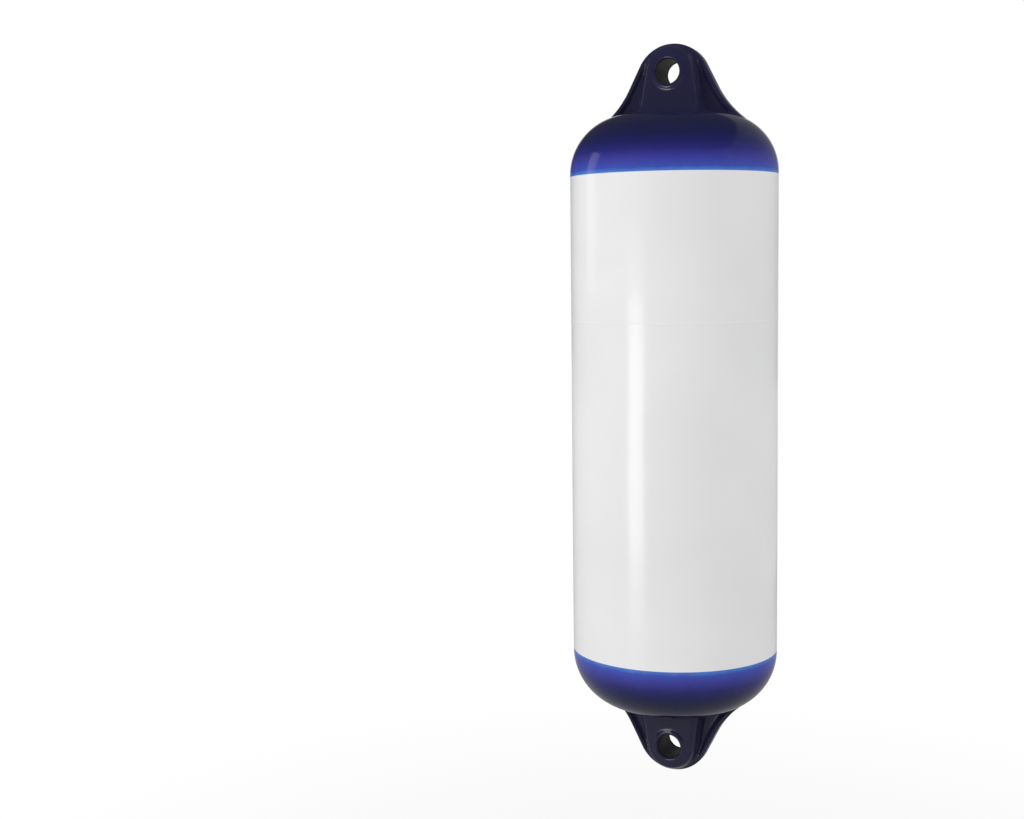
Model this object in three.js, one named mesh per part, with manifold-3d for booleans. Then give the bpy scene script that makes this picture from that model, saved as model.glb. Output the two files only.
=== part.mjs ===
// Inflatable boat fender with an eye at each end, a white barrel and blue ends.
// Millimetres, +Z up along the fender, origin in the middle of the top eye, eye bores along Y.

import * as THREE from 'three';
import { mergeVertices, toCreasedNormals } from 'three/addons/utils/BufferGeometryUtils.js';
import Module from 'manifold-3d';

const wasm = await Module();
wasm.setup();

// Body: a cylinder with a rounded shoulder and a slightly bulging crown at each end
const overallLength = 640;
const bodyDiameter = 180;
const shoulderRadius = 51;
const crownRise = 1.5;
const wallThickness = 3;
const coatDepth = 112.5;

// Fine line left round the barrel by the joint of the mould
const mouldLineHeight = 83;
const mouldLineWidth = 1.6;
const mouldLineRise = 0.2;

// Lug: a thin web with a thicker rim round it and a drafted boss in the middle that carries the eye
const lugHeight = 58.3;
const lugTipRadius = 33;
const lugFlankAngle = THREE.MathUtils.degToRad(27);
const lugRootRadius = 82;
const rimThickness = 13;
const rimWidth = 3;
const rimEdgeRadius = 2;
const webThickness = 5;
const pocketSlope = THREE.MathUtils.degToRad(35);
const bossThickness = 33;
const bossHeadRadius = 24.7;
const bossSpread = THREE.MathUtils.degToRad(10);
const bossDraft = THREE.MathUtils.degToRad(20);
const bossEdgeRadius = 3;
const bossRootRadius = 8;
const rootDepth = 18;
const eyeDiameter = 21.5;
const eyeToTip = 24.7;
const lipRadius = 2.2;
const lipRise = 1.4;
const lipInset = 0.5;

// Valve, on the back of the top shoulder; lengths run along the valve's own axis
const valveTilt = THREE.MathUtils.degToRad(45);
const valvePadDiameter = 28;
const valvePadRise = 0.8;
const valveDepth = 13;
const socketDiameter = 17;
const collarDiameter = 22;
const collarThickness = 2.5;
const collarDrop = 6;
const shankDiameter = 8;
const shankEndGap = 1.5;
const headDiameter = 12.4;
const headThickness = 2.2;
const headCrown = 0.5;
const sealThickness = 1.6;
const slotWidth = 1.8;
const slotDepth = 1.2;
const fitClearance = 0.3;

// Fineness of round forms
const bodySegments = 72;
const cavitySegments = 48;
const shoulderSteps = 8;
const outlineSteps = 5;
const edgeSteps = 2;
const eyeSegments = 32;
const valveSegments = 36;
const cutMargin = 5;

// Values worked out from the sizes above
const bodyRadius = bodyDiameter / 2;
const halfLength = overallLength / 2;
const crownHeight = halfLength - lugHeight;
const shoulderTop = crownHeight - crownRise;
const shoulderStart = shoulderTop - shoulderRadius;
const shoulderCentre = bodyRadius - shoulderRadius;
const coatEdge = halfLength - coatDepth;
const eyeHeight = halfLength - eyeToTip;
const footHeight = shoulderTop - rootDepth;

const coatColour = new THREE.Color(0x262a66);
const wallColour = new THREE.Color(0xe6e4e6);
const fittingColour = new THREE.Color(0x23262e);

const vinyl = new THREE.MeshStandardMaterial({ color: 0xffffff, vertexColors: true, roughness: 0.22, metalness: 0 });
const hardPlastic = new THREE.MeshStandardMaterial({ color: fittingColour, roughness: 0.4, metalness: 0 });
const rubber = new THREE.MeshStandardMaterial({ color: 0x151515, roughness: 0.7, metalness: 0 });
const whitePlastic = new THREE.MeshStandardMaterial({ color: 0xd9dadd, roughness: 0.35, metalness: 0 });

// Turns a closed geometry into a solid that can be joined and cut
function solid(geometry, matrix = new THREE.Matrix4()) {
  const shape = geometry.clone().applyMatrix4(matrix);
  shape.deleteAttribute('normal');
  shape.deleteAttribute('uv');
  const merged = mergeVertices(shape, 1e-4);
  const corners = merged.index.array;
  const triangles = [];
  for (let i = 0; i < corners.length; i += 3) {
    const [a, b, c] = corners.slice(i, i + 3);
    if (a !== b && b !== c && c !== a) triangles.push(a, b, c);
  }
  return new wasm.Manifold(new wasm.Mesh({
    numProp: 3,
    vertProperties: new Float32Array(merged.attributes.position.array),
    triVerts: new Uint32Array(triangles),
  }));
}

// Turns a solid back into a geometry with smooth round faces and crisp edges
function surface(body) {
  const mesh = body.getMesh();
  const geometry = new THREE.BufferGeometry();
  geometry.setAttribute('position', new THREE.BufferAttribute(mesh.vertProperties, 3));
  geometry.setIndex(new THREE.BufferAttribute(mesh.triVerts, 1));
  return toCreasedNormals(geometry, Math.PI / 6);
}

// Revolves [radius, height] points about the Z axis
function revolve(points, segments) {
  const profile = points.map(([radius, height]) => new THREE.Vector2(radius, height));
  return new THREE.LatheGeometry(profile, segments).rotateX(Math.PI / 2);
}

// Skins a stack of like rings of [x, y] points, each at its own height, and closes both ends
function loft(rings, heights) {
  const count = rings[0].length;
  const positions = rings.flatMap((ring, level) => ring.flatMap(([x, y]) => [x, y, heights[level]]));
  const last = count * (rings.length - 1);
  const index = [];
  for (let i = 0; i < count; i += 1) {
    const next = (i + 1) % count;
    for (let low = 0; low < last; low += count) {
      const high = low + count;
      index.push(low + i, low + next, high + next, low + i, high + next, high + i);
    }
  }
  const outline = rings[0].map(([x, y]) => new THREE.Vector2(x, y));
  THREE.ShapeUtils.triangulateShape(outline, []).forEach(([a, b, c]) => {
    index.push(c, b, a, last + a, last + b, last + c);
  });
  const geometry = new THREE.BufferGeometry();
  geometry.setAttribute('position', new THREE.Float32BufferAttribute(positions, 3));
  geometry.setIndex(index);
  return geometry;
}

// A flat form across X and up Z; its outline is drawn in by an inset at each depth along Y
function slab(outline, layers) {
  const rings = layers.map(([, inset]) => outline(inset));
  return loft(rings, layers.map(([depth]) => depth)).rotateX(Math.PI / 2);
}

// Repeats the layers of one face for the other face
function bothSides(layers) {
  return [...layers.map(([depth, inset]) => [-depth, inset]).reverse(), ...layers];
}

// Points of an arc about a centre, both ends included
function arc([x, y], radius, from, to) {
  const points = [];
  for (let i = 0; i <= outlineSteps; i += 1) {
    const angle = from + (i / outlineSteps) * (to - from);
    points.push([x + radius * Math.cos(angle), y + radius * Math.sin(angle)]);
  }
  return points;
}

// Completes an outline whose right half runs up to its top point
function withMirrorImage(half) {
  return [...half, ...half.slice(0, -1).reverse().map(([x, y]) => [-x, y])];
}

// Points of the end profile, from the barrel over the shoulder to the middle of the crown
function endProfile(inset, steps) {
  const points = [];
  for (let i = 0; i <= steps; i += 1) {
    const angle = (i / steps) * (Math.PI / 2);
    const radius = shoulderRadius - inset;
    points.push([shoulderCentre + radius * Math.cos(angle), shoulderStart + radius * Math.sin(angle)]);
  }
  points.push([shoulderCentre / 2, shoulderTop - inset + crownRise * 0.75]);
  points.push([0, crownHeight - inset]);
  return points;
}

function mirrored(points) {
  return points.map(([radius, height]) => [radius, -height]).reverse();
}

// Outer skin: both ends, the edges of the coat and the mould line
function outerSkin() {
  const line = [
    [bodyRadius, mouldLineHeight - mouldLineWidth / 2],
    [bodyRadius + mouldLineRise, mouldLineHeight - mouldLineWidth / 4],
    [bodyRadius + mouldLineRise, mouldLineHeight + mouldLineWidth / 4],
    [bodyRadius, mouldLineHeight + mouldLineWidth / 2],
  ];
  const end = endProfile(0, shoulderSteps);
  const barrel = [[bodyRadius, -coatEdge], ...line, [bodyRadius, coatEdge]];
  return revolve([...mirrored(end), ...barrel, ...end], bodySegments);
}

function airSpace() {
  const end = endProfile(wallThickness, shoulderSteps - 2);
  return revolve([...mirrored(end), ...end], cavitySegments);
}

// Front outline of a lug: round tip, straight flanks, and root arcs that run out onto the shoulder
function lugOutline(inset) {
  const tipCentre = halfLength - lugTipRadius;
  const tipRadius = lugTipRadius - inset;
  const rootRadius = lugRootRadius + inset;
  const along = new THREE.Vector2(Math.sin(lugFlankAngle), -Math.cos(lugFlankAngle));
  const outward = new THREE.Vector2(Math.cos(lugFlankAngle), Math.sin(lugFlankAngle));
  const flankStart = outward.clone().multiplyScalar(tipRadius).add(new THREE.Vector2(0, tipCentre));
  const shoulder = new THREE.Vector2(shoulderCentre, shoulderStart);
  const offset = flankStart.clone().addScaledVector(outward, rootRadius).sub(shoulder);
  const reach = rootRadius + shoulderRadius - inset;
  const half = offset.dot(along);
  const flankLength = -half - Math.sqrt(half * half - offset.lengthSq() + reach * reach);
  const rootCentre = offset.addScaledVector(along, flankLength).add(shoulder);
  const landing = shoulder.clone().sub(rootCentre).angle();
  const root = arc(rootCentre.toArray(), rootRadius, landing, Math.PI + lugFlankAngle);
  const tip = arc([0, tipCentre], tipRadius, lugFlankAngle, Math.PI / 2);
  return withMirrorImage([[root[0][0], footHeight], ...root, ...tip]);
}

// Half width of the boss at a height, where it stands on the web
function bossHalfWidth(height) {
  return bossHeadRadius / Math.cos(bossSpread) + (eyeHeight - height) * Math.tan(bossSpread);
}

// Outline of the boss on the web: a round head about the eye and sides that spread towards the crown
function bossOutline(inset) {
  const head = arc([0, eyeHeight], bossHeadRadius - inset, bossSpread, Math.PI / 2);
  const footHalf = bossHalfWidth(footHeight) - inset / Math.cos(bossSpread);
  return withMirrorImage([[footHalf, footHeight], ...head]);
}

// Depths and insets of the boss: drafted sides that turn into its flat face over a rounded edge
function bossLayers() {
  const centreDepth = bossThickness / 2 - bossEdgeRadius;
  const rise = centreDepth - webThickness / 2;
  const centreInset = rise * Math.tan(bossDraft) + bossEdgeRadius / Math.cos(bossDraft);
  const layers = [[webThickness / 2, 0]];
  for (let i = 0; i <= edgeSteps; i += 1) {
    const angle = bossDraft + (i / edgeSteps) * (Math.PI / 2 - bossDraft);
    const depth = centreDepth + bossEdgeRadius * Math.sin(angle);
    layers.push([depth, centreInset - bossEdgeRadius * Math.cos(angle)]);
  }
  return bothSides(layers);
}

// Depths and insets of the rim, with rounded edges
function rimLayers() {
  const layers = [];
  for (let i = 0; i <= edgeSteps; i += 1) {
    const angle = (i / edgeSteps) * (Math.PI / 2);
    const depth = rimThickness / 2 - rimEdgeRadius * (1 - Math.sin(angle));
    layers.push([depth, rimEdgeRadius * (1 - Math.cos(angle))]);
  }
  return bothSides(layers);
}

// Ring round a convex polygon whose corners are rounded, grown outwards all round
function roundedRing(corners, radius, growth) {
  const points = corners.map(([x, y]) => new THREE.Vector2(x, y));
  const normalAfter = (i) => {
    const edge = points[(i + 1) % points.length].clone().sub(points[i % points.length]);
    return Math.atan2(-edge.x, edge.y);
  };
  return points.flatMap((corner, i) => {
    const before = normalAfter(i + points.length - 1);
    const turn = THREE.MathUtils.euclideanModulo(normalAfter(i) - before, 2 * Math.PI);
    const reach = radius / Math.cos(turn / 2);
    const middle = before + turn / 2;
    const centre = [corner.x - reach * Math.cos(middle), corner.y - reach * Math.sin(middle)];
    return arc(centre, radius + growth, before, before + turn);
  });
}

// Fillet where the boss runs out onto the crown
function bossRoot() {
  const drawnIn = (bossThickness / 2) * Math.tan(bossDraft);
  const rings = [];
  const heights = [];
  for (let i = 0; i <= outlineSteps; i += 1) {
    const angle = (i / outlineSteps) * (Math.PI / 2);
    const height = shoulderTop + bossRootRadius * (1 - Math.cos(angle));
    const back = bossHalfWidth(height);
    const front = back - drawnIn;
    const corners = [[front, -bossThickness / 2], [back, 0], [front, bossThickness / 2]];
    const ring = [...corners, ...corners.map(([x, y]) => [-x, -y])];
    rings.push(roundedRing(ring, bossEdgeRadius, bossRootRadius * (1 - Math.sin(angle))));
    heights.push(height);
  }
  return loft([rings[0], ...rings], [footHeight, ...heights]);
}

// Pocket in one face of the lug, with sloping walls down to the web
function pocket(turn) {
  const wall = cutMargin + (rimThickness - webThickness) / 2;
  const slope = Math.tan(pocketSlope);
  const outer = rimWidth - cutMargin * slope;
  const layers = [[-wall - webThickness / 2, outer], [-webThickness / 2, outer + wall * slope]];
  return solid(slab(lugOutline, layers).rotateZ(turn));
}

// Rounded lip round the mouth of the eye
function eyeLip(side) {
  const ring = new THREE.TorusGeometry(eyeDiameter / 2 + lipRadius - lipInset, lipRadius, 8, eyeSegments);
  const depth = bossThickness / 2 + lipRise - lipRadius;
  return solid(ring.rotateX(Math.PI / 2).translate(0, side * depth, eyeHeight));
}

function lug() {
  const rim = solid(slab(lugOutline, rimLayers()));
  const boss = solid(slab(bossOutline, bossLayers()));
  const eye = new THREE.CylinderGeometry(eyeDiameter / 2, eyeDiameter / 2, bossThickness * 2, eyeSegments);
  return rim
    .subtract(pocket(0))
    .subtract(pocket(Math.PI))
    .add(boss)
    .add(solid(bossRoot()))
    .add(eyeLip(1))
    .add(eyeLip(-1))
    .subtract(solid(eye.translate(0, 0, eyeHeight)));
}

// Outline of the valve socket, grown by a gap for the hole that it is moulded into
function socketProfile(gap) {
  const radius = socketDiameter / 2 + gap;
  const collar = collarDiameter / 2 + gap;
  const collarTop = valvePadRise - collarDrop + gap;
  const collarBottom = valvePadRise - collarDrop - collarThickness - gap;
  return [[radius, -valveDepth], [radius, collarBottom], [collar, collarBottom], [collar, collarTop],
    [radius, collarTop], [radius, valvePadRise]];
}

const seatHeight = valvePadRise - headThickness - sealThickness - fitClearance;
const shankEnd = shankEndGap - valveDepth;

function valveSocket() {
  const bore = shankDiameter / 2 + fitClearance;
  const mouth = headDiameter / 2 + fitClearance;
  const inside = [[mouth, valvePadRise], [mouth, seatHeight], [bore, seatHeight], [bore, -valveDepth]];
  const outside = socketProfile(0);
  return revolve([...outside, ...inside, outside[0]], valveSegments);
}

function valveSeal() {
  const inner = shankDiameter / 2 + fitClearance;
  const outer = headDiameter / 2;
  const bottom = seatHeight + fitClearance;
  const top = bottom + sealThickness - fitClearance;
  return revolve([[inner, bottom], [outer, bottom], [outer, top], [inner, top], [inner, bottom]], valveSegments);
}

function valveScrew() {
  const shank = shankDiameter / 2;
  const head = headDiameter / 2;
  const under = valvePadRise - headThickness + fitClearance;
  const turned = solid(revolve([
    [0, shankEnd], [shank * 0.7, shankEnd], [shank, shankEnd + shank * 0.4], [shank, under], [head, under],
    [head, valvePadRise], [head * 0.6, valvePadRise + headCrown * 0.75], [0, valvePadRise + headCrown],
  ], valveSegments));
  const slot = new THREE.BoxGeometry(slotWidth, headDiameter * 2, slotDepth * 2);
  return surface(turned.subtract(solid(slot.translate(0, 0, valvePadRise + headCrown))));
}

// Place and direction of the valve on the back of the top shoulder
const valvePlace = new THREE.Group();
valvePlace.position.set(
  0,
  shoulderCentre + shoulderRadius * Math.sin(valveTilt),
  shoulderStart + shoulderRadius * Math.cos(valveTilt),
);
valvePlace.rotation.x = -valveTilt;
valvePlace.updateMatrix();

function valveBoss() {
  const radius = valvePadDiameter / 2;
  const boss = [[0, -valveDepth], [radius, -valveDepth], [radius, 0], [radius - valvePadRise, valvePadRise],
    [0, valvePadRise]];
  return solid(revolve(boss, valveSegments), valvePlace.matrix);
}

function valveHole() {
  const hole = socketProfile(fitClearance);
  const [first] = hole;
  const last = hole[hole.length - 1];
  const cut = [[0, first[1] - cutMargin], [first[0], first[1] - cutMargin], ...hole,
    [last[0], last[1] + cutMargin], [0, last[1] + cutMargin]];
  return solid(revolve(cut, valveSegments), valvePlace.matrix);
}

// Blue where the coat reaches, white between its edges
function paint(geometry) {
  const place = geometry.getAttribute('position');
  const colours = new Float32Array(place.count * 3);
  for (let i = 0; i < place.count; i += 3) {
    const height = (place.getZ(i) + place.getZ(i + 1) + place.getZ(i + 2)) / 3;
    const colour = Math.abs(height) > coatEdge ? coatColour : wallColour;
    for (let corner = i; corner < i + 3; corner += 1) colour.toArray(colours, corner * 3);
  }
  geometry.setAttribute('color', new THREE.BufferAttribute(colours, 3));
  return geometry;
}

function fenderBody() {
  const upside = new THREE.Matrix4().makeRotationY(Math.PI);
  const topLug = lug();
  const bottomLug = solid(surface(topLug), upside);
  const body = solid(outerSkin())
    .add(topLug)
    .add(bottomLug)
    .subtract(solid(airSpace()))
    .add(valveBoss())
    .subtract(valveHole());
  return paint(surface(body));
}

function part(name, geometry, material) {
  const mesh = new THREE.Mesh(geometry, material);
  mesh.name = name;
  return mesh;
}

valvePlace.add(
  part('valve_socket', valveSocket(), hardPlastic),
  part('valve_seal', valveSeal(), rubber),
  part('valve_screw', valveScrew(), whitePlastic),
);

const fender = new THREE.Group();
fender.add(part('fender_body', fenderBody(), vinyl), valvePlace);
fender.position.z = -eyeHeight;

const model = new THREE.Group();
model.add(fender);

export default model;
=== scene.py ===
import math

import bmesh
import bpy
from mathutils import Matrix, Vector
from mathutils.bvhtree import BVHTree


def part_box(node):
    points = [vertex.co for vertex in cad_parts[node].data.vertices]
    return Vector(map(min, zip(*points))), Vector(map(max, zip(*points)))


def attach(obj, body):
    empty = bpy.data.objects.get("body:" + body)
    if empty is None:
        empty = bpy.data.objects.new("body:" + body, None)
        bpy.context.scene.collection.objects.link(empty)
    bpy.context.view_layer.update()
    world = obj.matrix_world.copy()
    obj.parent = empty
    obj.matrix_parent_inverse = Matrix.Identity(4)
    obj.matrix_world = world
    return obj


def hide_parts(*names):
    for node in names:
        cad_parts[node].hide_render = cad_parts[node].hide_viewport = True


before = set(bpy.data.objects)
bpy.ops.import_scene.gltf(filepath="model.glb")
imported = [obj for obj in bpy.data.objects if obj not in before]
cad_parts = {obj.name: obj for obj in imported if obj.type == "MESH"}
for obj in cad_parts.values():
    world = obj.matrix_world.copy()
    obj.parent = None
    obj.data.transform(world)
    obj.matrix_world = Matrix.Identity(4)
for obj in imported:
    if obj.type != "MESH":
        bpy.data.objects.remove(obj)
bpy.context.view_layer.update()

# %% [markdown]
# # A boat fender with an eye at each end
#
# The real fender is one hollow moulding of soft PVC, blown up hard through a valve. It is white, and
# both of its ends are sprayed blue. The frame holds it at its true size, in metres, with the middle of
# the top eye at the origin and the fender hanging straight down from there.
#
# The frame's solid is faceted, so the moulding is modelled again here with smooth skin and soft edges.
# The three small pieces of the valve are modelled again too, because a valve is looked at closely.

MM = 0.001
body_low, body_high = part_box("fender_body")

# The solid's widest ring is its mould line, which stands out from the barrel by this much.
solid_line_rise = 0.2 * MM
half_length = (body_high.z - body_low.z) / 2
middle = (body_high.z + body_low.z) / 2
body_radius = body_high.x - solid_line_rise
eye_to_tip = body_high.z
print("length", round(2 * half_length, 4), "radius", round(body_radius, 4), "middle", round(middle, 4))

# %% [markdown]
# ## Small helpers
#
# A Blender operator acts on whatever is selected, as it would under a modeller's hand. So every step
# starts from nothing selected, and then picks its faces or edges in code, by their place or normal.
# A few helpers say that once. `settle` puts a finished piece's place into its mesh, so that its object
# sits at the origin, as the frame's own pieces do.

# %% Helpers for modelling
# A face looks along an axis when its normal reaches this far along it.
FACING = 0.9


def select_only(*pieces):
    bpy.ops.object.select_all(action="DESELECT")
    for piece in pieces:
        piece.select_set(True)
    bpy.context.view_layer.objects.active = pieces[0]


def start_piece(name):
    piece = bpy.context.object
    piece.name = name
    piece.data.name = name
    return piece


def open_for_editing(piece):
    select_only(piece)
    bpy.ops.object.mode_set(mode="EDIT")
    bpy.ops.mesh.select_all(action="DESELECT")


def stop_editing():
    bpy.ops.object.mode_set(mode="OBJECT")


def pick(piece, kind, test):
    """Selects the faces, edges or verts that pass a test, and returns their number."""
    bpy.ops.mesh.select_mode(type={"faces": "FACE", "edges": "EDGE", "verts": "VERT"}[kind])
    bpy.ops.mesh.select_all(action="DESELECT")
    mesh = bmesh.from_edit_mesh(piece.data)
    chosen = [item for item in getattr(mesh, kind) if test(item)]
    for item in chosen:
        item.select_set(True)
    bmesh.update_edit_mesh(piece.data)
    return len(chosen)


def faces_towards(axis, side):
    """A test for the faces that look along an axis, to its positive or negative side."""
    return lambda face: face.normal["xyz".index(axis)] * side > FACING


def centre_of(edge):
    return (edge.verts[0].co + edge.verts[1].co) / 2


def settle(piece):
    select_only(piece)
    bpy.ops.object.transform_apply(location=True, rotation=True, scale=True)
    return piece


def copy_of(piece, name):
    select_only(piece)
    bpy.ops.object.duplicate()
    return start_piece(name)


def apply_modifier(piece, kind, **settings):
    select_only(piece)
    modifier = piece.modifiers.new(kind.lower(), kind)
    for key, value in settings.items():
        setattr(modifier, key, value)
    bpy.ops.object.modifier_apply(modifier=modifier.name)


def cut_away(piece, cutter):
    apply_modifier(piece, "BOOLEAN", operation="DIFFERENCE", solver="EXACT", object=cutter)
    bpy.data.objects.remove(cutter)


def join_up(*pieces):
    select_only(*pieces)
    bpy.ops.object.join()
    return bpy.context.object


def report(piece):
    piece.data.calc_loop_triangles()
    print(piece.name, len(piece.data.loop_triangles), "triangles", flush=True)


# %% [markdown]
# ## The plain skin: barrel, shoulders and crowns
#
# The mould is a cylinder with round shoulders, and the air pressure pushes its flat ends out a little.
# A lathe would make this shape, and so would a cylinder whose two sharp rims are bevelled with a large
# radius. The bevel is chosen here because its profile is a true quarter circle, and because the radius
# stays one number. The flat ends are then inset ring by ring, and each ring is lifted a little more.

# %% The plain skin
lug_height = 58.3 * MM
crown_rise = 1.5 * MM
shoulder_radius = 51 * MM
crown_height = half_length - lug_height
shoulder_top = crown_height - crown_rise
shoulder_start = shoulder_top - shoulder_radius
shoulder_centre = body_radius - shoulder_radius

AROUND = 256
SHOULDER_STEPS = 24
CROWN_RINGS = 6
# Two places closer than this count as one.
TOUCH = 0.01 * MM


def crown_lift(radius):
    share = radius / shoulder_centre
    return crown_rise * (1 - share * share) ** 2


def raise_crown(skin, side):
    pick(skin, "faces", lambda face: face.calc_center_median().z * side > shoulder_top - TOUCH)
    ring = shoulder_centre / CROWN_RINGS
    for i in range(1, CROWN_RINGS):
        bpy.ops.mesh.inset(thickness=ring)
        lift = crown_lift(shoulder_centre - i * ring) - crown_lift(shoulder_centre - (i - 1) * ring)
        bpy.ops.transform.translate(value=(0, 0, side * lift))
    bpy.ops.mesh.poke()


def plain_skin():
    bpy.ops.object.select_all(action="DESELECT")
    bpy.ops.mesh.primitive_cylinder_add(vertices=AROUND, radius=body_radius, depth=2 * shoulder_top)
    skin = start_piece("plain_skin")
    open_for_editing(skin)
    pick(skin, "edges", lambda edge: abs(abs(centre_of(edge).z) - shoulder_top) < TOUCH)
    bpy.ops.mesh.bevel(offset=shoulder_radius, segments=SHOULDER_STEPS, profile=0.5, affect="EDGES")
    raise_crown(skin, 1)
    raise_crown(skin, -1)
    stop_editing()
    return skin


skin = plain_skin()
report(skin)

# %% [markdown]
# ## The lug: rim, web and pockets
#
# The lug is what the rope pulls on. Seen from the front it has a round tip, straight flanks, and roots
# that sweep out onto the shoulder. Its edge is a thick rim, and a pocket in each face leaves only a
# thin web, which saves vinyl and lets the thick parts cool evenly in the mould.
#
# The outline could be drawn and filled, but growing it is closer to how it is thought of: a thin slab
# at the foot is extruded upwards step by step, and each step is scaled to the lug's width at that
# height. The pocket then needs two insets in each face, the second one pushed inwards.

# %% The lug's outline
lug_tip_radius = 33 * MM
lug_flank_angle = math.radians(27)
lug_root_radius = 82 * MM
root_depth = 18 * MM
tip_centre = half_length - lug_tip_radius
foot_height = shoulder_top - root_depth
OUTLINE_STEPS = 16
# A slab can't be scaled to nothing, so the tip's arc stops this far before its top.
TOP_GAP = math.radians(3)


def root_circle():
    """Centre of the root's arc, which touches the straight flank and the round shoulder."""
    along = Vector((math.sin(lug_flank_angle), -math.cos(lug_flank_angle)))
    outward = Vector((math.cos(lug_flank_angle), math.sin(lug_flank_angle)))
    start = Vector((0, tip_centre)) + outward * (lug_tip_radius + lug_root_radius)
    offset = start - Vector((shoulder_centre, shoulder_start))
    reach = lug_root_radius + shoulder_radius
    half = offset.dot(along)
    travel = -half - math.sqrt(half * half - offset.length_squared + reach * reach)
    return start + along * travel


def lug_levels():
    """Heights and half widths of the lug, from its foot up to its tip."""
    centre = root_circle()
    landing = math.atan2(shoulder_start - centre.y, shoulder_centre - centre.x) % (2 * math.pi)
    levels = []
    for i in range(OUTLINE_STEPS + 1):
        angle = landing + i / OUTLINE_STEPS * (math.pi + lug_flank_angle - landing)
        x = centre.x + lug_root_radius * math.cos(angle)
        levels.append((centre.y + lug_root_radius * math.sin(angle), x))
    for i in range(OUTLINE_STEPS + 1):
        angle = lug_flank_angle + i / OUTLINE_STEPS * (math.pi / 2 - TOP_GAP - lug_flank_angle)
        levels.append((tip_centre + lug_tip_radius * math.sin(angle), lug_tip_radius * math.cos(angle)))
    return [(foot_height, levels[0][1])] + levels


print("lug outline", len(lug_levels()), "levels, root circle at", root_circle())

# %% Helpers that grow a slab and round its edges
FLAT_WITHIN = math.radians(1)


def grow(name, levels, thickness):
    """Extrudes a slab upwards through [height, half width] levels."""
    (low, half_width), (first, first_width) = levels[:2]
    bpy.ops.object.select_all(action="DESELECT")
    size = (2 * half_width, thickness, first - low)
    bpy.ops.mesh.primitive_cube_add(size=1, location=(0, 0, (low + first) / 2), scale=size)
    piece = settle(start_piece(name))
    open_for_editing(piece)
    pick(piece, "faces", faces_towards("z", 1))
    bpy.ops.transform.resize(value=(first_width / half_width, 1, 1), center_override=(0, 0, first))
    for (z0, w0), (z1, w1) in zip(levels[1:], levels[2:]):
        bpy.ops.mesh.extrude_region_move(TRANSFORM_OT_translate={"value": (0, 0, z1 - z0)})
        bpy.ops.transform.resize(value=(w1 / w0, 1, 1), center_override=(0, 0, z1))
    bpy.ops.mesh.select_all(action="SELECT")
    bpy.ops.mesh.dissolve_limited(angle_limit=FLAT_WITHIN)
    stop_editing()
    return piece


def bevel_sharp(radius, segments, least_angle):
    """Rounds every edge that turns by more than an angle in degrees."""
    bpy.ops.mesh.select_mode(type="EDGE")
    bpy.ops.mesh.select_all(action="DESELECT")
    bpy.ops.mesh.edges_select_sharp(sharpness=math.radians(least_angle))
    bpy.ops.mesh.bevel(offset=radius, segments=segments, affect="EDGES")


# %% The lug's rim, with a pocket in each face
rim_thickness = 13 * MM
rim_width = 3 * MM
rim_edge_radius = 2 * MM
web_thickness = 5 * MM
pocket_slope = math.radians(35)
pocket_edge_radius = 0.9 * MM


def lug_rim():
    rim = grow("lug_rim", lug_levels(), rim_thickness)
    depth = (rim_thickness - web_thickness) / 2
    open_for_editing(rim)
    bevel_sharp(rim_edge_radius, segments=3, least_angle=60)
    for side in (-1, 1):
        face_depth = rim_thickness / 2 - TOUCH
        pick(rim, "faces", lambda face: face.calc_center_median().y * side > face_depth)
        bpy.ops.mesh.inset(thickness=rim_width - rim_edge_radius)
        bpy.ops.mesh.inset(thickness=depth * math.tan(pocket_slope), depth=-depth)
    bevel_sharp(pocket_edge_radius, segments=2, least_angle=40)
    stop_editing()
    return rim


rim = lug_rim()
report(rim)

# %% [markdown]
# ## The boss that carries the eye
#
# The rope would cut through the thin web, so the eye runs through a thick boss. Its head is round about
# the eye, its sides spread towards the crown, and all of its sides are drafted so that it leaves the
# mould. Each face of a thin slab is extruded and scaled down about the eye, which gives the draft, and a
# bevel then rounds the edge.

# %% The boss
boss_thickness = 33 * MM
boss_head_radius = 24.7 * MM
boss_spread = math.radians(10)
boss_draft = math.radians(20)
boss_edge_radius = 3 * MM
eye_height = half_length - eye_to_tip


def boss_levels():
    """Heights and half widths of the boss, from its foot up to the top of its head."""
    levels = []
    for i in range(OUTLINE_STEPS + 1):
        angle = boss_spread + i / OUTLINE_STEPS * (math.pi / 2 - TOP_GAP - boss_spread)
        z = eye_height + boss_head_radius * math.sin(angle)
        levels.append((z, boss_head_radius * math.cos(angle)))
    z, x = levels[0]
    return [(foot_height, x + (z - foot_height) * math.tan(boss_spread))] + levels


def lug_boss():
    boss = grow("lug_boss", boss_levels(), web_thickness)
    rise = (boss_thickness - web_thickness) / 2
    drawn_in = 1 - rise * math.tan(boss_draft) / boss_head_radius
    eye = (0, 0, eye_height)
    open_for_editing(boss)
    for side in (-1, 1):
        pick(boss, "faces", faces_towards("y", side))
        bpy.ops.mesh.extrude_region_move(TRANSFORM_OT_translate={"value": (0, side * rise, 0)})
        bpy.ops.transform.resize(value=(drawn_in, 1, drawn_in), center_override=eye)
    bevel_sharp(boss_edge_radius, segments=4, least_angle=45)
    stop_editing()
    return boss


boss = lug_boss()
report(boss)

# %% [markdown]
# The boss runs out onto the crown in a wide fillet. It is grown as a second slab, which starts wide and
# draws in along a quarter circle as it is extruded upwards.

# %% The boss's foot
boss_root_radius = 8 * MM
FOOT_STEPS = 6


def boss_half_width(z):
    """Half width of the boss's face, where its drafted sides end."""
    drawn_in = (boss_thickness - web_thickness) / 2 * math.tan(boss_draft)
    back = boss_head_radius / math.cos(boss_spread) + (eye_height - z) * math.tan(boss_spread)
    return back - drawn_in


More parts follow.
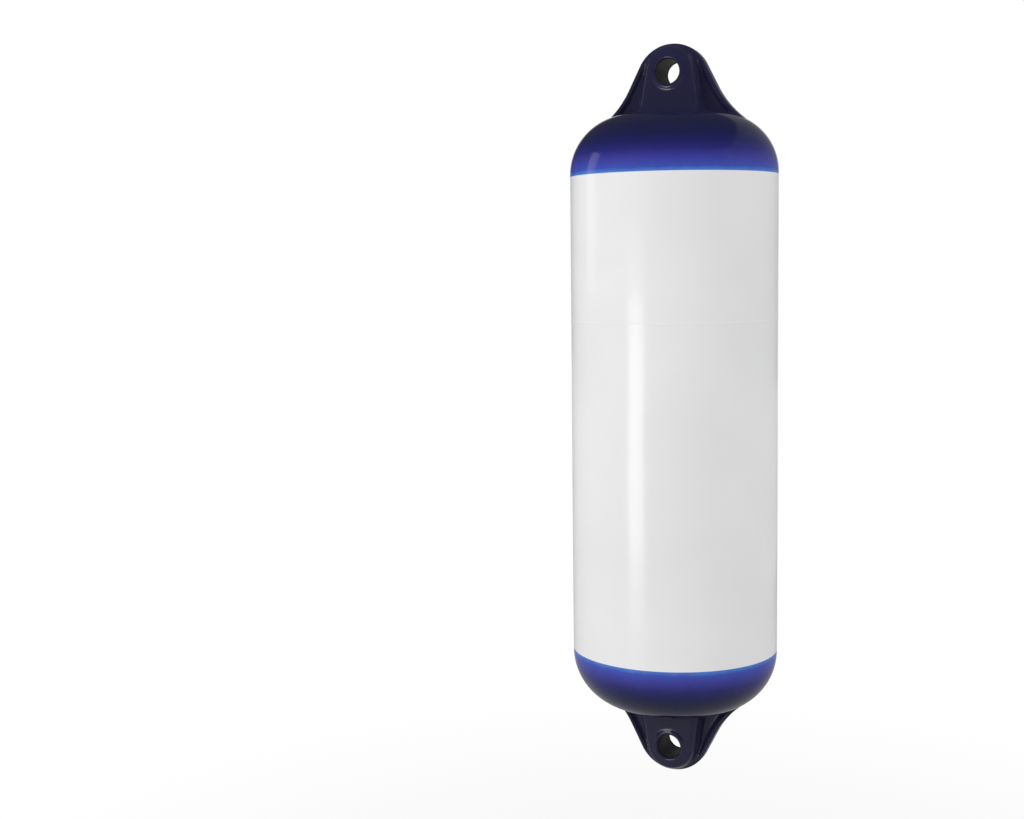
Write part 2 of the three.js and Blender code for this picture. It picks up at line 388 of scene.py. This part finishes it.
def add_ridge(piece, width):
    """Draws the two end faces of a slab out to an edge each."""
    for side in (-1, 1):
        pick(piece, "faces", faces_towards("x", side))
        bpy.ops.mesh.extrude_region_move(TRANSFORM_OT_translate={"value": (side * width, 0, 0)})
        bpy.ops.transform.resize(value=(1, 0, 1), center_override=(0, 0, 0))
    bpy.ops.mesh.select_all(action="SELECT")
    bpy.ops.mesh.remove_doubles(threshold=TOUCH)


def is_corner(edge):
    """True for the edges that climb the four outer corners."""
    low, high = sorted((vert.co for vert in edge.verts), key=lambda place: place.z)
    return high.z - low.z > TOUCH and abs(low.y) > boss_thickness / 4 and abs(high.y) > boss_thickness / 4


def boss_foot():
    low_width = boss_half_width(shoulder_top) + boss_root_radius
    low_depth = boss_thickness / 2 + boss_root_radius
    size = (2 * low_width, 2 * low_depth, shoulder_top - foot_height)
    bpy.ops.object.select_all(action="DESELECT")
    bpy.ops.mesh.primitive_cube_add(size=1, location=(0, 0, (shoulder_top + foot_height) / 2), scale=size)
    foot = settle(start_piece("boss_foot"))
    open_for_editing(foot)
    add_ridge(foot, low_depth * math.tan(boss_draft))
    pick(foot, "faces", faces_towards("z", 1))
    width, depth, height = low_width, low_depth, shoulder_top
    for i in range(1, FOOT_STEPS + 1):
        angle = i / FOOT_STEPS * math.pi / 2
        z = shoulder_top + boss_root_radius * (1 - math.cos(angle))
        growth = boss_root_radius * (1 - math.sin(angle))
        new_width, new_depth = boss_half_width(z) + growth, boss_thickness / 2 + growth
        bpy.ops.mesh.extrude_region_move(TRANSFORM_OT_translate={"value": (0, 0, z - height)})
        bpy.ops.transform.resize(value=(new_width / width, new_depth / depth, 1), center_override=(0, 0, z))
        width, depth, height = new_width, new_depth, z
    pick(foot, "edges", is_corner)
    bpy.ops.mesh.bevel(offset=boss_edge_radius, segments=3, affect="EDGES")
    stop_editing()
    return foot


foot = boss_foot()
report(foot)

# %% [markdown]
# ## The eye
#
# The eye is a round bore with a raised lip at both mouths, so that the rope bends over a soft edge. A
# cylinder cuts the bore and a torus makes each lip. The lips only touch the boss for now: a later step
# melts all of these forms into one skin.

# %% The eye's bore and lips
eye_radius = 10.75 * MM
lip_radius = 2.2 * MM
lip_rise = 1.4 * MM
lip_inset = 0.5 * MM
BORE_SIDES = 96
LIP_SIDES = 24
QUARTER_TURN = math.pi / 2


def bore_cutter():
    bpy.ops.object.select_all(action="DESELECT")
    bpy.ops.mesh.primitive_cylinder_add(
        vertices=BORE_SIDES, radius=eye_radius, depth=2 * boss_thickness,
        location=(0, 0, eye_height), rotation=(QUARTER_TURN, 0, 0))
    return settle(start_piece("bore_cutter"))


def eye_lip(side):
    depth = boss_thickness / 2 + lip_rise - lip_radius
    bpy.ops.object.select_all(action="DESELECT")
    bpy.ops.mesh.primitive_torus_add(
        major_segments=BORE_SIDES, minor_segments=LIP_SIDES, minor_radius=lip_radius,
        major_radius=eye_radius + lip_radius - lip_inset,
        location=(0, side * depth, eye_height), rotation=(QUARTER_TURN, 0, 0))
    return settle(start_piece("eye_lip"))


cut_away(rim, bore_cutter())
cut_away(boss, bore_cutter())
lug = join_up(rim, boss, foot, eye_lip(1), eye_lip(-1))
lug.name = "lug"
report(lug)

# %% [markdown]
# ## The valve's place
#
# The air goes in through a valve on the back of the top shoulder, turned halfway between straight up
# and straight back, where the rope and the berth don't touch it. The vinyl is thicker there, in a low
# round pad. Everything of the valve is modelled upright at the origin and then laid into its place.

# %% The valve's pad and the helper that places the valve's pieces
valve_tilt = math.radians(45)
valve_pad_radius = 14 * MM
valve_pad_rise = 0.8 * MM
valve_depth = 13 * MM
VALVE_SIDES = 96


def turned(name, profile, closed):
    """Lathes a [radius, height] profile: a ring is extruded from point to point and scaled.

    A closed profile ends where it starts. Any other one is capped at both of its ends.
    """
    radius, height = profile[0]
    bpy.ops.object.select_all(action="DESELECT")
    bpy.ops.mesh.primitive_circle_add(
        vertices=VALVE_SIDES, radius=radius, location=(0, 0, height),
        fill_type="NOTHING" if closed else "TRIFAN")
    piece = settle(start_piece(name))
    open_for_editing(piece)
    pick(piece, "edges", lambda edge: len(edge.link_faces) < 2)
    for (r0, z0), (r1, z1) in zip(profile, profile[1:]):
        bpy.ops.mesh.extrude_region_move(TRANSFORM_OT_translate={"value": (0, 0, z1 - z0)})
        bpy.ops.transform.resize(value=(r1 / r0, r1 / r0, 1), center_override=(0, 0, z1))
    if not closed:
        bpy.ops.mesh.merge(type="CENTER")
    bpy.ops.mesh.select_all(action="SELECT")
    bpy.ops.mesh.remove_doubles(threshold=TOUCH / 10)
    bpy.ops.mesh.normals_make_consistent(inside=False)
    stop_editing()
    return piece


def lay_on_shoulder(piece):
    away = Vector((0, math.sin(valve_tilt), math.cos(valve_tilt)))
    piece.location = Vector((0, shoulder_centre, shoulder_start)) + shoulder_radius * away
    piece.rotation_euler.x = -valve_tilt
    return settle(piece)


def valve_pad():
    edge = valve_pad_radius - valve_pad_rise
    profile = [(valve_pad_radius, -valve_depth), (valve_pad_radius, 0),
               (edge, valve_pad_rise), (edge / 2, valve_pad_rise)]
    return lay_on_shoulder(turned("valve_pad", profile, False))


pad = valve_pad()
report(pad)

# %% [markdown]
# ## Melting an end into one moulding
#
# On the real fender the lug and the shoulder are one piece of vinyl, with no joint between them and
# no sharp corner. A Boolean union would leave a hard crease and long thin faces. A voxel remesh makes
# one skin of everything instead, and a little smoothing then gives all the corners the soft radius of
# a moulding. It also blurs the shoulder, so its points are pulled back onto the plain skin afterwards,
# wherever they lie close to it.

# %% Helpers for the ends
VOXEL = 1.0 * MM
SMOOTHING = 9
KEPT_SHARE = 0.38
# Points nearer than this are pulled fully onto the plain skin, and points farther than FAR not at all.
NEAR = 0.25 * MM
FAR = 0.6 * MM
CUT_DROP = 0.2 * MM
cut_height = shoulder_start - CUT_DROP
END_OVERLAP = 15 * MM
MERGE = TOUCH / 100


def cut_level(piece, height, **options):
    """Cuts all faces at a height. The options say which side goes, and whether the cut is filled."""
    open_for_editing(piece)
    bpy.ops.mesh.select_all(action="SELECT")
    bpy.ops.mesh.bisect(plane_co=(0, 0, height), plane_no=(0, 0, 1), threshold=MERGE, **options)
    stop_editing()


def pull_onto(piece, target):
    """Moves the points that lie near another skin onto it."""
    faces = [face.vertices for face in target.data.polygons]
    tree = BVHTree.FromPolygons([vert.co for vert in target.data.vertices], faces)
    group = piece.vertex_groups.new(name="near")
    for vert in piece.data.vertices:
        gap = tree.find_nearest(vert.co)[3]
        weight = min(1, max(0, (FAR - gap) / (FAR - NEAR)))
        group.add([vert.index], weight, "REPLACE")
    apply_modifier(
        piece, "SHRINKWRAP", target=target, wrap_method="NEAREST_SURFACEPOINT", vertex_group="near")
    piece.vertex_groups.clear()


# %% The two ends
def moulded_end(name, *forms):
    end = copy_of(skin, name)
    cut_level(end, cut_height - END_OVERLAP, clear_inner=True, use_fill=True)
    end = join_up(end, *forms)
    apply_modifier(end, "REMESH", mode="VOXEL", voxel_size=VOXEL)
    apply_modifier(end, "SMOOTH", factor=0.5, iterations=SMOOTHING)
    apply_modifier(end, "DECIMATE", ratio=KEPT_SHARE)
    pull_onto(end, skin)
    return end


bottom_end = moulded_end("bottom_end", copy_of(lug, "bottom_lug"))
top_end = moulded_end("top_end", lug, pad)
report(bottom_end)
report(top_end)

# %% [markdown]
# ## The valve's hole
#
# A black plastic socket is moulded into the pad, where its collar holds it, so the pad gets a hole with
# a groove for that collar. The hole is cut while the end is still closed all round, because a Boolean
# needs to know which side of a surface is inside.

# %% The hole for the valve's socket
socket_radius = 8.5 * MM
collar_radius = 11 * MM
collar_thickness = 2.5 * MM
collar_drop = 6 * MM
fit_clearance = 0.3 * MM


def socket_profile(gap):
    """Outer profile of the socket from its bottom to its top, grown by a gap."""
    top = valve_pad_rise - collar_drop + gap
    bottom = top - collar_thickness - 2 * gap
    radius, collar = socket_radius + gap, collar_radius + gap
    return [(radius, -valve_depth), (radius, bottom), (collar, bottom), (collar, top), (radius, top),
            (radius, valve_pad_rise)]


def valve_hole():
    """A plug with the socket's outer shape, a little larger, that reaches out through the pad."""
    profile = socket_profile(fit_clearance)
    radius = profile[0][0]
    rise = 5 * MM
    return lay_on_shoulder(turned("valve_hole", profile + [(radius, rise), (radius / 2, rise)], False))


cut_away(top_end, valve_hole())
report(top_end)

# %% [markdown]
# ## Barrel, and joining it all
#
# The barrel is the middle of the plain skin. The mould closes on a line above its middle, which shows
# as a fine ridge all round. A ridge could be a ring of its own, but it is part of the same vinyl, so it
# is cut into the barrel: the rings nearest to the line are scaled up a little, and the rings further out
# keep the ridge's shading from running over the flat wall. Then each end is opened at the start of its
# shoulder, and bridging the open edges closes the skin.

# %% The barrel with its mould line
mould_line_height = 83 * MM
mould_line_width = 1.6 * MM
mould_line_rise = 0.07 * MM
RING_PLACES = [share * mould_line_width for share in (-6, -2, -1, -0.5, -0.2, 0.2, 0.5, 1, 2, 6)]
RAISED_WITHIN = 0.3 * mould_line_width
BRIDGE = 1.2 * MM


def barrel_piece():
    barrel = copy_of(skin, "barrel")
    cut_level(barrel, BRIDGE - cut_height, clear_inner=True)
    cut_level(barrel, cut_height - BRIDGE, clear_outer=True)
    for place in RING_PLACES:
        cut_level(barrel, mould_line_height + place)
    open_for_editing(barrel)
    pick(barrel, "verts", lambda vert: abs(vert.co.z - mould_line_height) < RAISED_WITHIN)
    grown = 1 + mould_line_rise / body_radius
    bpy.ops.transform.resize(value=(grown, grown, 1), center_override=(0, 0, mould_line_height))
    stop_editing()
    return barrel


barrel = barrel_piece()
report(barrel)

# %% The whole moulding
FENDER_SMOOTH_UP_TO = math.radians(50)


def bridge_open_edges(piece, side):
    open_for_editing(piece)
    pick(piece, "edges", lambda edge: edge.is_boundary and centre_of(edge).z * side > 0)
    bpy.ops.mesh.bridge_edge_loops()
    stop_editing()


def whole_fender():
    for end in (bottom_end, top_end):
        cut_level(end, cut_height, clear_inner=True)
    bottom_end.rotation_euler.x = math.pi
    settle(bottom_end)
    whole = join_up(top_end, barrel, bottom_end)
    bridge_open_edges(whole, 1)
    bridge_open_edges(whole, -1)
    open_for_editing(whole)
    bpy.ops.mesh.select_all(action="SELECT")
    bpy.ops.mesh.remove_doubles(threshold=MERGE)
    bpy.ops.mesh.normals_make_consistent(inside=False)
    print("open edges", pick(whole, "edges", lambda edge: edge.is_boundary))
    stop_editing()
    whole.name = whole.data.name = "fender"
    whole.location.z = middle
    return settle(whole)


fender = whole_fender()
bpy.data.objects.remove(skin)
bpy.ops.object.shade_smooth_by_angle(angle=FENDER_SMOOTH_UP_TO)
report(fender)
print("size", [round(side, 4) for side in fender.dimensions])
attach(fender, "root")
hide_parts("fender_body")

# %% [markdown]
# ## The valve's socket, seal and screw
#
# All three are round about one axis, so each is a profile that is turned. The socket's mouth takes the
# head of the screw, and a rubber ring under the head keeps the air in. The screw is turned with a coin,
# so its head is slightly domed and has a slot across it, cut by a box. A narrow bevel on every sharp
# edge catches the light, as it does on moulded plastic.

# %% The valve's pieces
shank_radius = 4 * MM
shank_end_gap = 1.5 * MM
head_radius = 6.2 * MM
head_thickness = 2.2 * MM
head_crown = 0.5 * MM
seal_thickness = 1.6 * MM
slot_width = 1.8 * MM
slot_depth = 1.2 * MM
seat = valve_pad_rise - head_thickness - seal_thickness - fit_clearance
CROWN_STEPS = 6
BEVELLED_FROM = math.radians(35)
VALVE_SMOOTH_UP_TO = math.radians(40)


def soften(piece, width, segments):
    apply_modifier(
        piece, "BEVEL", width=width, segments=segments, limit_method="ANGLE", angle_limit=BEVELLED_FROM)
    select_only(piece)
    bpy.ops.object.shade_smooth_by_angle(angle=VALVE_SMOOTH_UP_TO)
    return piece


def valve_socket():
    mouth, bore = head_radius + fit_clearance, shank_radius + fit_clearance
    inside = [(mouth, valve_pad_rise), (mouth, seat), (bore, seat), (bore, -valve_depth)]
    outside = socket_profile(0)
    return soften(turned("socket", outside + inside + outside[:1], True), width=0.4 * MM, segments=3)


def valve_seal():
    inner, bottom = shank_radius + fit_clearance, seat + fit_clearance
    top = bottom + seal_thickness - fit_clearance
    profile = [(inner, bottom), (head_radius, bottom), (head_radius, top), (inner, top), (inner, bottom)]
    return soften(turned("seal", profile, True), width=0.45 * MM, segments=4)


def screw_profile():
    """From the shank's tapered end up and out to the middle of the domed head."""
    end = shank_end_gap - valve_depth
    under = valve_pad_rise - head_thickness + fit_clearance
    profile = [(shank_radius * 0.7, end), (shank_radius, end + shank_radius * 0.4), (shank_radius, under),
               (head_radius, under), (head_radius, valve_pad_rise)]
    for i in range(1, CROWN_STEPS):
        angle = i / CROWN_STEPS * math.pi / 2
        profile.append((head_radius * math.cos(angle), valve_pad_rise + head_crown * math.sin(angle)))
    return profile


def valve_screw():
    screw = turned("screw", screw_profile(), False)
    top = valve_pad_rise + head_crown
    size = (slot_width, 4 * head_radius, 2 * slot_depth)
    bpy.ops.object.select_all(action="DESELECT")
    bpy.ops.mesh.primitive_cube_add(size=1, location=(0, 0, top), scale=size)
    cut_away(screw, settle(start_piece("slot_cutter")))
    return soften(screw, width=0.3 * MM, segments=3)


# %% The valve's pieces in their places
# Each row holds a piece's function, the node it stands for and the material slot of that node.
VALVE_PIECES = [
    (valve_socket, "valve_socket", "valve_plastic"),
    (valve_seal, "valve_seal", "seal_rubber"),
    (valve_screw, "valve_screw", "screw_plastic"),
]

for make, node, slot in VALVE_PIECES:
    piece = lay_on_shoulder(make())
    piece.location.z = middle
    settle(piece)
    report(piece)
    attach(piece, "root")
    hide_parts(node)

# %% [markdown]
# ## Writing materials as expressions
#
# A material is a graph of nodes, but a formula is easier to read. This class wraps one output socket,
# so that adding or multiplying two of them adds the Math node that does it. Every other node comes
# from one method. Colours are mixed by a Mix node, because a Math node would turn them grey.

# %% Shader expressions
def set_stops(marks, stops):
    while len(marks) < len(stops):
        marks.new(1.0)
    for mark, (place, colour) in zip(marks, stops):
        mark.position = place
        mark.color = colour


def feed(socket, value):
    if isinstance(value, Wire):
        value.tree.links.new(value.socket, socket)
    else:
        socket.default_value = value


class Wire:
    """One output socket of a node graph, with Python's operators on it."""

    def __init__(self, tree, socket):
        self.tree = tree
        self.socket = socket

    def add(self, kind, settings, values, output=0):
        """Adds a node: its settings first, then the values or links of its sockets."""
        node = self.tree.nodes.new(kind)
        for key, value in settings.items():
            if key == "stops":
                set_stops(node.color_ramp.elements, value)
            else:
                setattr(node, key, value)
        for key, value in values.items():
            feed(node.inputs[key], value)
        return Wire(self.tree, node.outputs[output])

    def math(self, operation, first, second):
        return self.add("ShaderNodeMath", {"operation": operation}, {0: first, 1: second})

    def __add__(self, other):
        return self.math("ADD", self, other)

    def __sub__(self, other):
        return self.math("SUBTRACT", self, other)

    def __rsub__(self, other):
        return self.math("SUBTRACT", other, self)

    def __mul__(self, other):
        return self.math("MULTIPLY", self, other)

    def __truediv__(self, other):
        return self.math("DIVIDE", self, other)

    def __rtruediv__(self, other):
        return self.math("DIVIDE", other, self)

    def __abs__(self):
        return self.math("ABSOLUTE", self, 0.0)

    __radd__ = __add__
    __rmul__ = __mul__

    def root(self):
        return self.math("SQRT", self, 0.0)

    def rise(self, low, high):
        """0 below low, 1 above high, and a smooth rise between them."""
        values = {0: self, 1: low, 2: high}
        return self.add("ShaderNodeMapRange", {"interpolation_type": "SMOOTHSTEP"}, values)

    def axis(self, name):
        return self.add("ShaderNodeSeparateXYZ", {}, {0: self}, name)

    def stretch(self, x, y, z):
        return self.add("ShaderNodeVectorMath", {"operation": "MULTIPLY"}, {0: self, 1: (x, y, z)})

    def length(self):
        return self.add("ShaderNodeVectorMath", {"operation": "LENGTH"}, {0: self}, "Value")

    def noise(self, scale, detail):
        return self.add("ShaderNodeTexNoise", {}, {"Vector": self, "Scale": scale, "Detail": detail})

    def mix(self, first, second):
        """The colour that goes from first to second as this goes from 0 to 1."""
        return self.add("ShaderNodeMix", {"data_type": "RGBA"}, {0: self, 6: first, 7: second}, 2)

    def ramp(self, stops):
        return self.add("ShaderNodeValToRGB", {"stops": stops}, {0: self})

    def bump(self, distance):
        return self.add("ShaderNodeBump", {}, {"Height": self, "Distance": distance})

    def place(self, kind):
        """Where a point is: Object on a piece, or Generated for a direction in the world."""
        return self.add("ShaderNodeTexCoord", {}, {}, kind)

    def ray(self, kind):
        """1 for one kind of ray, such as Camera or Glossy, and 0 for the others."""
        return self.add("ShaderNodeLightPath", {}, {}, "Is " + kind + " Ray")


# %% Colours and a plain material to start from
def colour(red, green, blue):
    """A colour from its 0 to 255 screen values, as the light that a shader works with."""
    def light(value):
        share = value / 255
        return share / 12.92 if share <= 0.04045 else ((share + 0.055) / 1.055) ** 2.4
    return (light(red), light(green), light(blue), 1.0)


def new_material(name, **constants):
    """A material with its constants set, its shader, and the place of each point on the piece."""
    material = bpy.data.materials.new(name)
    material.use_nodes = True
    tree = material.node_tree
    shader = tree.nodes["Principled BSDF"]
    for key, value in constants.items():
        shader.inputs[key.replace("_", " ")].default_value = value
    return material, shader, Wire(tree, shader.outputs["BSDF"]).place("Object")


# %% [markdown]
# ## The vinyl
#
# The moulding is white PVC right through, and glossy from the polished mould. The ends are sprayed in
# blue up to a masking line just before the shoulder. The coat is thin there, so it is a bright blue
# that darkens to navy within a few centimetres. One material does all of it: the height above the
# fender's middle gives a sharp mask for the coat and a ramp for its colour. Two bumps keep it from
# looking like glass, slow waves from the mould's wall and a very fine grain. The bores of the eyes are
# duller, and their near-black colour is painted shade inside the holes.

# %% The vinyl's material
coat_edge = 207.5 * MM
COAT_BLEND = 0.15 * MM
RAMP_LENGTH = 80 * MM

# The coat's colour from its edge inwards, by the share of RAMP_LENGTH.
COAT_STOPS = [
    (0.0, colour(74, 126, 204)),
    (0.045, colour(59, 78, 172)),
    (0.1, colour(58, 66, 156)),
    (0.16, colour(53, 53, 137)),
    (0.23, colour(38, 37, 108)),
    (0.31, colour(27, 30, 84)),
    (0.4, colour(25, 27, 66)),
    (0.52, colour(27, 27, 56)),
    (0.75, colour(35, 34, 60)),
]
COAT_WANDER = 3 * MM
BORE_EDGE = (eye_radius - 0.2 * MM, eye_radius + 0.4 * MM)
# The bores' colour is painted shade: the inside of each eye's hole is drawn almost black.
BORE_SHADE_COLOUR = colour(30, 32, 28)


def bore_mask(place, height):
    """1 inside the eyes' bores. The height counts from the fender's middle to either end."""
    across = place.axis("X")
    along = height - eye_height
    return 1 - (across * across + along * along).root().rise(*BORE_EDGE)


def vinyl():
    material, shader, place = new_material("fender_vinyl", IOR=1.42)
    height = abs(place.axis("Z") - middle)
    coat = height.rise(coat_edge - COAT_BLEND, coat_edge + COAT_BLEND)
    bore = bore_mask(place, height)
    cloud = place.noise(9.0, 3.0).rise(0.3, 0.7)
    white = cloud.mix(colour(228, 228, 229), colour(232, 232, 233))
    wander = (place.noise(60.0, 2.0) - 0.5) * COAT_WANDER
    blue = ((height - coat_edge + wander) / RAMP_LENGTH).ramp(COAT_STOPS)
    # Inside the bores the colour is painted shade, almost black.
    feed(shader.inputs["Base Color"], coat.mix(white, bore.mix(blue, BORE_SHADE_COLOUR)))
    scuff = place.stretch(1.0, 1.0, 0.3).noise(160.0, 4.0).rise(0.45, 0.8)
    feed(shader.inputs["Roughness"], 0.16 + 0.05 * scuff - 0.05 * coat + 0.5 * bore)
    waves = place.stretch(1.0, 1.0, 1.6).noise(14.0, 1.0)
    grain = place.noise(1500.0, 2.0)
    feed(shader.inputs["Normal"], (waves + grain * 0.004).bump(0.8 * MM))
    return material


def finish_with(piece, material):
    piece.data.materials.clear()
    piece.data.materials.append(material)
    print(piece.name, "gets", material.name)


finish_with(fender, vinyl())

# %% [markdown]
# ## The valve's plastics
#
# The socket is a stiff black plastic with a satin surface, the ring is matt rubber, and the screw is
# white. They differ mostly in roughness. Each gets the small unevenness of its kind, because a plain
# number all over looks like paint.

# %% The valve's materials
def moulded(name, first, second, roughness, grain_scale, grain_depth):
    material, shader, place = new_material(name)
    share = place.noise(90.0, 3.0).rise(0.3, 0.7)
    feed(shader.inputs["Base Color"], share.mix(first, second))
    feed(shader.inputs["Roughness"], roughness + 0.08 * place.noise(400.0, 3.0))
    feed(shader.inputs["Normal"], place.noise(grain_scale, 2.0).bump(grain_depth))
    return material


# Two colours to vary between, a roughness, and the scale and depth of the grain.
finishes = {
    "socket": moulded("socket_plastic", colour(30, 30, 33), colour(36, 36, 39), 0.38, 2500.0, 0.02 * MM),
    "seal": moulded("seal_rubber", colour(20, 20, 20), colour(28, 28, 28), 0.7, 4000.0, 0.05 * MM),
    "screw": moulded("screw_plastic", colour(217, 217, 218), colour(224, 224, 225), 0.3, 2500.0, 0.02 * MM),
}
for name, finish in finishes.items():
    finish_with(bpy.data.objects[name], finish)

# %% [markdown]
# ## The camera
#
# A picture only shows the fender's true proportions if the camera stands where a photographer would
# stand: under a metre and a half away, a little to the right and a little above the fender's middle. The
# fender hangs to the right in the frame, so the camera is turned to its left. Moving the camera instead
# would show another side of the lugs.

# %% Camera
camera_place = Vector((0.42989, -1.27004, -0.15877))
camera_turn = math.radians(24.811)
camera_pitch = math.radians(90 - 5.592)
camera_roll = math.radians(-0.703)

camera_data = bpy.data.cameras.new("camera")
camera_data.sensor_width = 36.0
camera_data.lens = 53.53
camera = bpy.data.objects.new("camera", camera_data)
bpy.context.collection.objects.link(camera)
camera.matrix_world = (Matrix.Translation(camera_place) @ Matrix.Rotation(camera_turn, 4, "Z")
                       @ Matrix.Rotation(camera_pitch, 4, "X") @ Matrix.Rotation(camera_roll, 4, "Z"))
bpy.context.scene.camera = camera
bpy.context.scene.view_settings.view_transform = "Standard"
print("camera", round(camera_place.length, 3), "m from the top eye, lens", round(camera_data.lens, 2), "mm")

# %% [markdown]
# ## Floor and background
#
# The fender hangs a little above a pale floor, before a white background. Brighter lamps could make
# floor and background white, but they would wash out the white vinyl too. So both are simply white to
# the camera and through glass, and the floor near the fender lets its shadow through. In gloss the
# white is a narrow sheet straight behind the fender, and the rest of the room is dim, which is what
# makes glossy vinyl look glossy. All other rays meet an even fill of light.

# %% Floor
floor_drop = 0.15
floor_size = 12.0
# This share of the floor's own look shows up to SHADOW_NEAR, and none of it beyond SHADOW_FAR.
SHADOW_SHARE = 0.1
SHADOW_NEAR = 0.2
SHADOW_FAR = 0.8
BACKDROP_AZIMUTH = math.radians(108)
BACKDROP_EDGE = 0.93
WHITE = (1.0, 1.0, 1.0, 1.0)


def behind(direction):
    """1 straight behind the fender, as the camera sees it, and 0 beside the narrow sheet there."""
    x, y = direction.axis("X"), direction.axis("Y")
    away = x * math.cos(BACKDROP_AZIMUTH) + y * math.sin(BACKDROP_AZIMUTH)
    return (away / direction.length()).rise(BACKDROP_EDGE, 1.0)


def sees_white(direction):
    """1 for the rays that see the white background."""
    gloss = direction.ray("Glossy") * behind(direction)
    return direction.ray("Camera") + direction.ray("Transmission") + gloss


def floor_material():
    material, shader, place = new_material("floor_paper", Roughness=0.8)
    tree = material.node_tree
    shade = place.noise(3.0, 2.0).rise(0.3, 0.7)
    feed(shader.inputs["Base Color"], shade.mix(colour(152, 152, 152), colour(158, 158, 158)))
    paper = Wire(tree, shader.outputs["BSDF"])
    glow = paper.add("ShaderNodeEmission", {}, {"Color": WHITE, "Strength": 1.0})
    away = place.stretch(1.0, 1.0, 0.0).length().rise(SHADOW_NEAR, SHADOW_FAR)
    share = sees_white(place) * (1 - SHADOW_SHARE + SHADOW_SHARE * away)
    both = paper.add("ShaderNodeMixShader", {}, {0: share, 1: paper, 2: glow})
    feed(tree.nodes["Material Output"].inputs["Surface"], both)
    return material


bpy.ops.object.select_all(action="DESELECT")
bpy.ops.mesh.primitive_plane_add(size=floor_size, location=(0, 0, body_low.z - floor_drop))
floor = settle(start_piece("floor"))
floor.data.materials.append(floor_material())
print("floor", floor_drop, "m below the fender")

# %% World
ROOM_LEVEL = 0.05
FILL_LEVEL = 1.08


def studio_world():
    world = bpy.data.worlds.new("studio")
    world.use_nodes = True
    background = world.node_tree.nodes["Background"]
    direction = Wire(world.node_tree, background.outputs["Background"]).place("Generated")
    white, glossy = sees_white(direction), direction.ray("Glossy")
    level = glossy * ROOM_LEVEL + (1 - glossy) * FILL_LEVEL
    feed(background.inputs["Color"], WHITE)
    feed(background.inputs["Strength"], white + (1 - white) * level)
    return world


bpy.context.scene.world = studio_world()
print("world", bpy.context.scene.world.name, "with a fill of", FILL_LEVEL)

# %% [markdown]
# ## Lamps
#
# The fender's gloss shows two long lamps on the left and a pale wall on the right, and its sides are
# shaded softly by two large windows. One set of lamps could do both, but moving a reflection would then
# change the shading too. So the lamps of the gloss light nothing else, and the windows show in no gloss.

# %% Lamps
# Each row holds a name, an azimuth in degrees, a distance, the lowest and highest point, a width and a
# radiance, in metres and in the world's own measure of strength.
GLOSS_LAMPS = [
    ("strip_left", -111.9, 1.0, -0.62, -0.22, 0.29, 4.2),
    ("strip_left_glow", -111.9, 0.99, -0.76, -0.1, 0.34, 0.7),
    ("strip_far_left", -169.5, 1.0, -0.2, 0.38, 0.26, 1.1),
    ("wall_right", 47, 1.2, -0.72, 1.18, 4.0, 0.19),
]
WINDOWS = [
    ("window_left", -128, 1.8, -0.7, 1.0, 1.2, 1.9),
    ("window_right", -5, 1.8, -0.7, 1.0, 1.2, 0.7),
]


def soft_light(name, azimuth, distance, low, high, width, radiance):
    """An upright rectangular lamp that stands round the fender and faces it."""
    height = high - low
    data = bpy.data.lights.new(name, "AREA")
    data.shape = "RECTANGLE"
    data.size, data.size_y = width, height
    data.energy = radiance * math.pi * width * height
    lamp = bpy.data.objects.new(name, data)
    bpy.context.collection.objects.link(lamp)
    aim = Vector((math.cos(math.radians(azimuth)), math.sin(math.radians(azimuth)), 0))
    lamp.location = aim * distance + Vector((0, 0, (low + high) / 2))
    lamp.rotation_euler = aim.to_track_quat("Z", "Y").to_euler()
    lamp.visible_camera = False
    print("lamp", name, round(data.energy, 3), "W")
    return lamp


for row in GLOSS_LAMPS:
    soft_light(*row).visible_diffuse = False
for row in WINDOWS:
    soft_light(*row).visible_glossy = False
